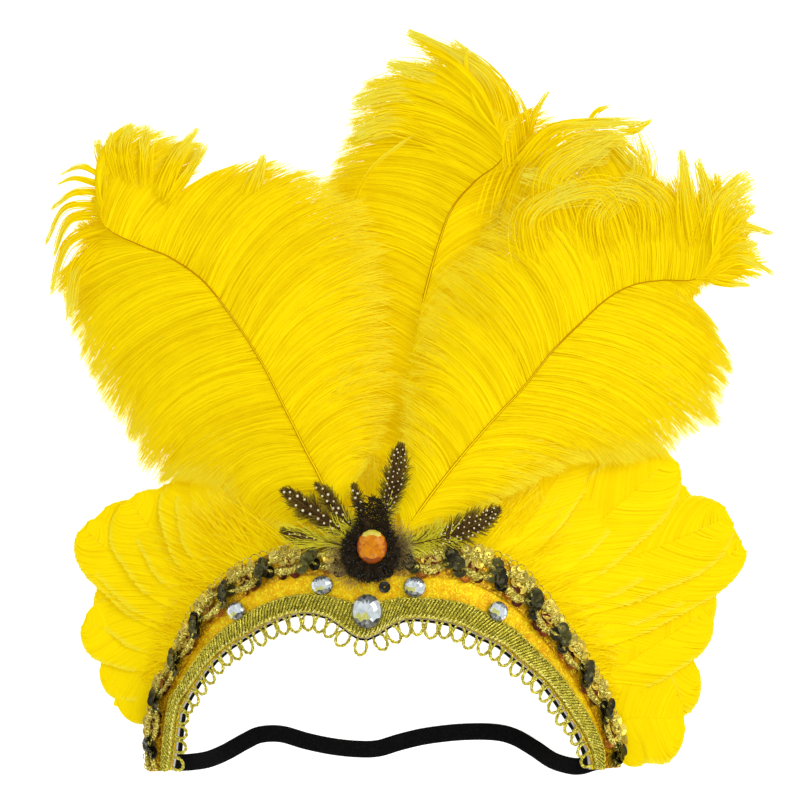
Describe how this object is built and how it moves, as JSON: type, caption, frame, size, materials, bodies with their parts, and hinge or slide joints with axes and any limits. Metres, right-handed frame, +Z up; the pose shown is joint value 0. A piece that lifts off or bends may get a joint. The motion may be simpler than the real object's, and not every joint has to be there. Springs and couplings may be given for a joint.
{
  "type": "feather headpiece",
  "caption": "Arched costume headband with cut stones, gold braid, sequin trim, a rosette, ostrich plumes and flat side feathers, closed by an elastic strap.",
  "frame": {"origin": "middle of the bounding box seen from above, at the surface that the headpiece lies on", "axes": "+X to the right across the band seen from the front, +Y from the elastic strap towards the plume tips, +Z up, out of the band's front face"},
  "size_m": [0.3664, 0.367, 0.0737],
  "materials": {
    "yellow_plume": "soft dyed ostrich barbs, loose and matt with a light sheen",
    "yellow_vane": "flat dyed feather vane, satin",
    "guinea": "dark brown feather with pale round spots",
    "felt": "black felt, matt",
    "stiffener": "pale stiffened cloth, matt",
    "brocade": "orange-gold metallic brocade",
    "gold_braid": "ribbed metallic gold braid",
    "sequins": "dark and pale gold cupped sequins, mirror gloss",
    "clear_stone": "clear faceted, foil-backed",
    "amber": "orange, polished",
    "rosette": "dark gathered cloth with fluff and beads",
    "elastic": "black woven elastic, matt"
  },
  "bodies": {
    "root": {"plume_left": "yellow_plume", "plume_center": "yellow_plume", "plume_right": "yellow_plume", "side_feather_left_1": "yellow_vane", "side_feather_left_2": "yellow_vane", "side_feather_left_3": "yellow_vane", "side_feather_left_4": "yellow_vane", "side_feather_left_5": "yellow_vane", "side_feather_right_1": "yellow_vane", "side_feather_right_2": "yellow_vane", "side_feather_right_3": "yellow_vane", "side_feather_right_4": "yellow_vane", "side_feather_right_5": "yellow_vane", "side_feather_right_6": "yellow_vane", "guinea_feather_1": "guinea", "guinea_feather_2": "guinea", "guinea_feather_3": "guinea", "guinea_feather_4": "guinea", "guinea_feather_5": "guinea", "guinea_feather_6": "guinea", "band_lining": "felt", "band_core": "stiffener", "band_cover": "brocade", "loop_braid": "gold_braid", "sequin_trim": "sequins", "gem_center": "clear_stone", "gem_mid_left": "clear_stone", "gem_mid_right": "clear_stone", "gem_side_left": "clear_stone", "gem_side_right": "clear_stone", "amber_stone": "amber", "rosette": "rosette", "elastic_strap": "elastic"}
  },
  "joints": []
}
